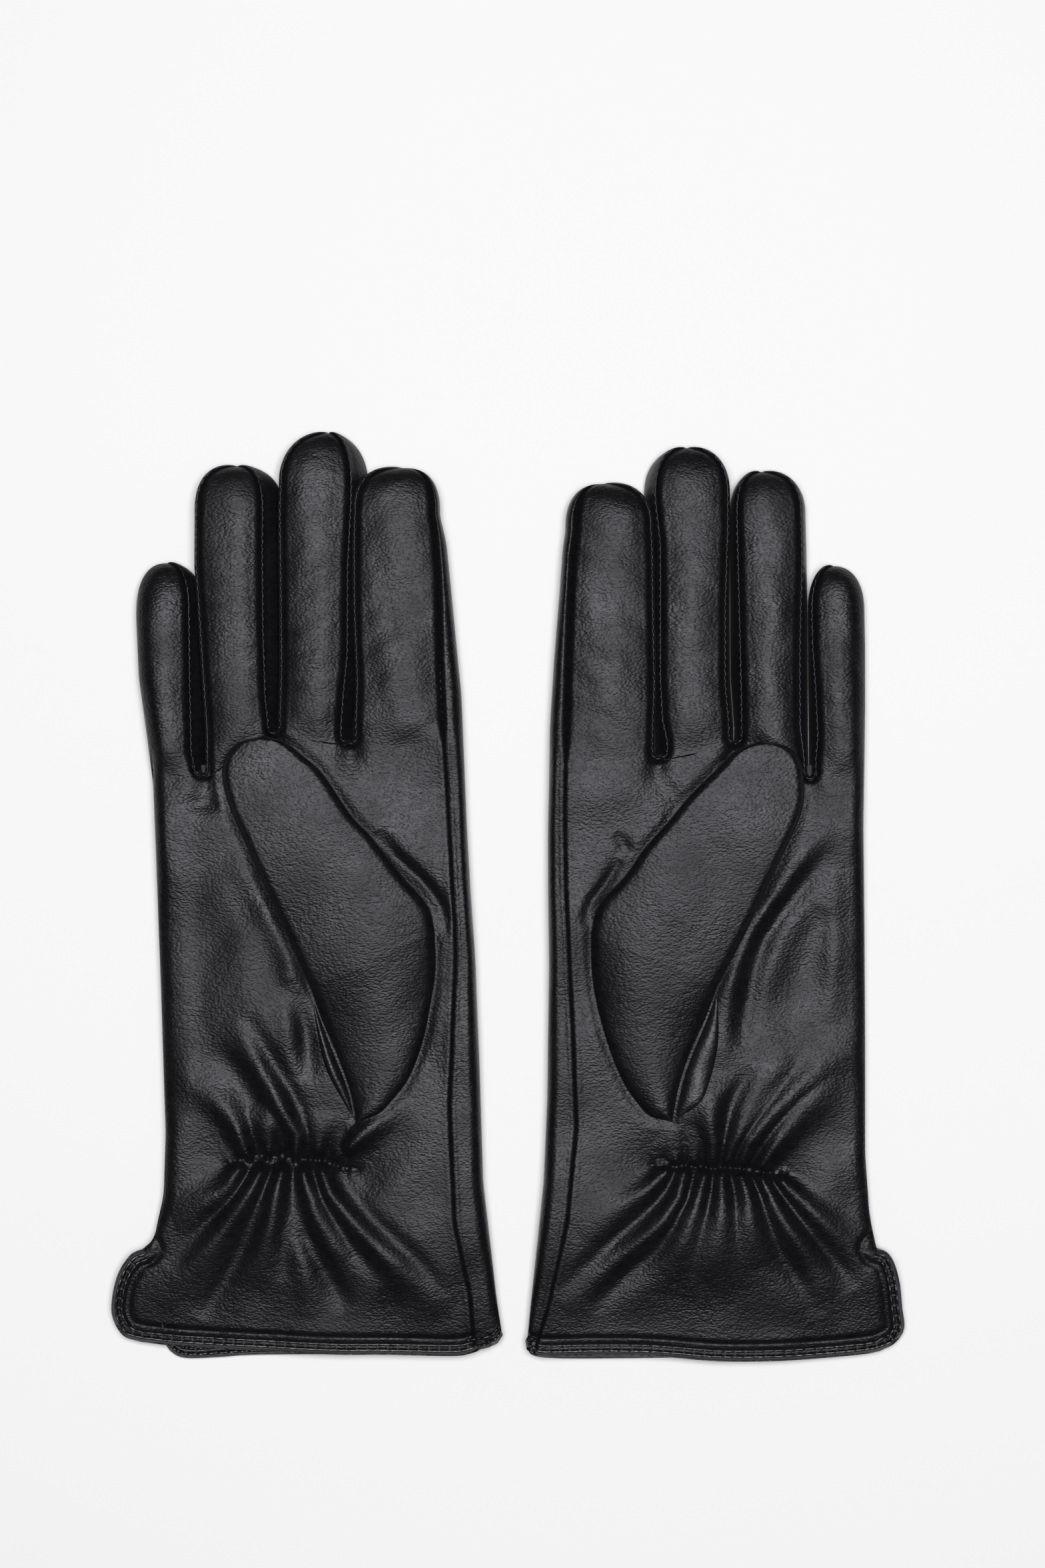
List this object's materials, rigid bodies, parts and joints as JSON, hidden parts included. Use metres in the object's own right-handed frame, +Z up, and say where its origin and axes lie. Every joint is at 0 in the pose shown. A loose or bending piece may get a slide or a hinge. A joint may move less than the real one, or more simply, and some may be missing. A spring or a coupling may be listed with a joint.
{
  "type": "pair of leather gloves",
  "caption": "Pair of lined leather gloves lying palm up, with gathered wrists, side vents, bound hems, set-in thumbs and hinged fingers.",
  "frame": {"origin": "centre of the pair's footprint, on the surface it lies on", "axes": "+Y towards the fingertips, +Z up out of the palms, +X from the right glove to the left glove"},
  "size_m": [0.2166, 0.2519, 0.0203],
  "materials": {
    "leather": "fine grained, semi-matt",
    "fork_leather": "fine grained, semi-matt",
    "edge_leather": "fine grained, semi-matt, folded edge",
    "lining": "fine knit, matt",
    "elastic": "woven elastic, matt",
    "thread": "twisted thread"
  },
  "bodies": {
    "right_hand": {"right_palm_panel": "leather", "right_back_panel": "leather", "right_thumb_gusset": "fork_leather", "right_front_binding": "edge_leather", "right_back_binding": "edge_leather", "right_wrist_elastic": "elastic", "right_hand_lining": "lining", "right_hem_stitching": "thread", "right_thumb_base": "leather"},
    "right_index_finger": {"right_index_front": "leather", "right_index_back": "leather", "right_index_fourchette": "fork_leather", "right_index_lining": "lining"},
    "right_middle_finger": {"right_middle_front": "leather", "right_middle_back": "leather", "right_middle_inner_fourchette": "fork_leather", "right_middle_outer_fourchette": "fork_leather", "right_middle_lining": "lining"},
    "right_ring_finger": {"right_ring_front": "leather", "right_ring_back": "leather", "right_ring_inner_fourchette": "fork_leather", "right_ring_outer_fourchette": "fork_leather", "right_ring_lining": "lining"},
    "right_little_finger": {"right_little_front": "leather", "right_little_back": "leather", "right_little_fourchette": "fork_leather", "right_little_lining": "lining"},
    "right_thumb": {"right_thumb_front": "leather", "right_thumb_back": "leather", "right_thumb_lining": "lining"},
    "left_hand": {"left_palm_panel": "leather", "left_back_panel": "leather", "left_thumb_gusset": "fork_leather", "left_front_binding": "edge_leather", "left_back_binding": "edge_leather", "left_wrist_elastic": "elastic", "left_hand_lining": "lining", "left_hem_stitching": "thread", "left_thumb_base": "leather"},
    "left_index_finger": {"left_index_front": "leather", "left_index_back": "leather", "left_index_fourchette": "fork_leather", "left_index_lining": "lining"},
    "left_middle_finger": {"left_middle_front": "leather", "left_middle_back": "leather", "left_middle_inner_fourchette": "fork_leather", "left_middle_outer_fourchette": "fork_leather", "left_middle_lining": "lining"},
    "left_ring_finger": {"left_ring_front": "leather", "left_ring_back": "leather", "left_ring_inner_fourchette": "fork_leather", "left_ring_outer_fourchette": "fork_leather", "left_ring_lining": "lining"},
    "left_little_finger": {"left_little_front": "leather", "left_little_back": "leather", "left_little_fourchette": "fork_leather", "left_little_lining": "lining"},
    "left_thumb": {"left_thumb_front": "leather", "left_thumb_back": "leather", "left_thumb_lining": "lining"}
  },
  "joints": [
    {"name": "glove_spacing", "type": "slide", "parent": "right_hand", "child": "left_hand", "axis": [1, 0, 0], "range_m": [0, 0.12]},
    {"name": "right_index_bend", "type": "hinge", "parent": "right_hand", "child": "right_index_finger", "pos_m": [-0.027, 0.0437, 0.011], "axis": [1, 0, 0], "range_deg": [0, 85]},
    {"name": "right_middle_bend", "type": "hinge", "parent": "right_hand", "child": "right_middle_finger", "pos_m": [-0.0515, 0.0463, 0.011], "axis": [1, 0, 0], "range_deg": [0, 85]},
    {"name": "right_ring_bend", "type": "hinge", "parent": "right_hand", "child": "right_ring_finger", "pos_m": [-0.0726, 0.0463, 0.011], "axis": [1, 0, 0], "range_deg": [0, 85]},
    {"name": "right_little_bend", "type": "hinge", "parent": "right_hand", "child": "right_little_finger", "pos_m": [-0.0904, 0.0356, 0.011], "axis": [1, 0, 0], "range_deg": [0, 85]},
    {"name": "right_thumb_lift", "type": "hinge", "parent": "right_hand", "child": "right_thumb", "pos_m": [-0.037, -0.0166, 0.0203], "axis": [0.9107, 0.4131, 0], "range_deg": [0, 80]},
    {"name": "left_index_bend", "type": "hinge", "parent": "left_hand", "child": "left_index_finger", "pos_m": [0.027, 0.0423, 0.011], "axis": [1, 0, 0], "range_deg": [0, 85]},
    {"name": "left_middle_bend", "type": "hinge", "parent": "left_hand", "child": "left_middle_finger", "pos_m": [0.0515, 0.0449, 0.011], "axis": [1, 0, 0], "range_deg": [0, 85]},
    {"name": "left_ring_bend", "type": "hinge", "parent": "left_hand", "child": "left_ring_finger", "pos_m": [0.0726, 0.0449, 0.011], "axis": [1, 0, 0], "range_deg": [0, 85]},
    {"name": "left_little_bend", "type": "hinge", "parent": "left_hand", "child": "left_little_finger", "pos_m": [0.0904, 0.0342, 0.011], "axis": [1, 0, 0], "range_deg": [0, 85]},
    {"name": "left_thumb_lift", "type": "hinge", "parent": "left_hand", "child": "left_thumb", "pos_m": [0.037, -0.018, 0.0203], "axis": [0.9107, -0.4131, 0], "range_deg": [0, 80]}
  ]
}
